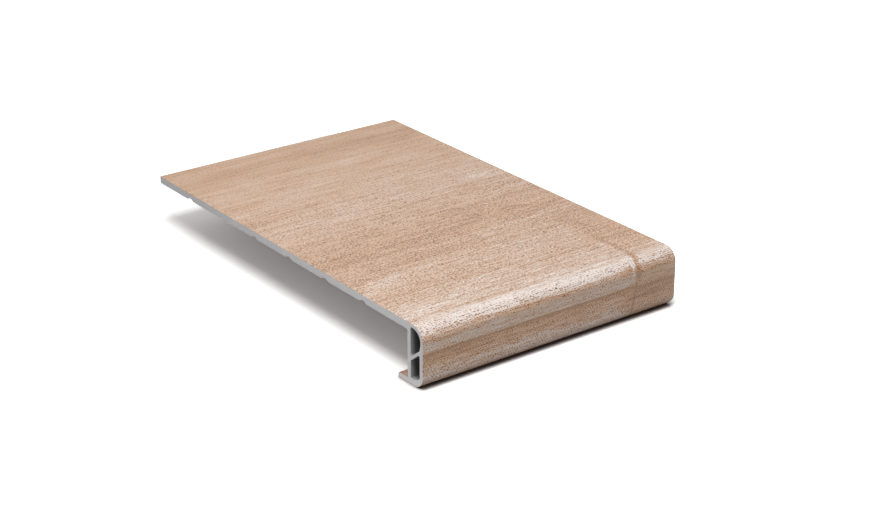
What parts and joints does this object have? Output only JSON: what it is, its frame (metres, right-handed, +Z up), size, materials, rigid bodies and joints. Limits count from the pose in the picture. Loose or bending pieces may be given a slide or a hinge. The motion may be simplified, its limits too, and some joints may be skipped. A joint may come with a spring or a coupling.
{
  "type": "stair tread",
  "caption": "Over-step stair tread: a flat extruded sheet with a rounded hollow nose and a rear lip, wrapped on its outer faces in a wood-print film.",
  "frame": {"origin": "on the floor below the middle of the tread's box, at the height of the nose's foot", "axes": "+X along the nose, -Y towards the front of the nose, +Y towards the rear edge, +Z up through the walking surface"},
  "size_m": [0.2, 0.312, 0.04],
  "materials": {
    "profile": "matte cool grey rigid plastic, as extruded and sawn",
    "film": "satin printed wood decor with an embossed grain"
  },
  "bodies": {
    "root": {"extruded_profile": "profile", "decor_film": "film"}
  },
  "joints": []
}
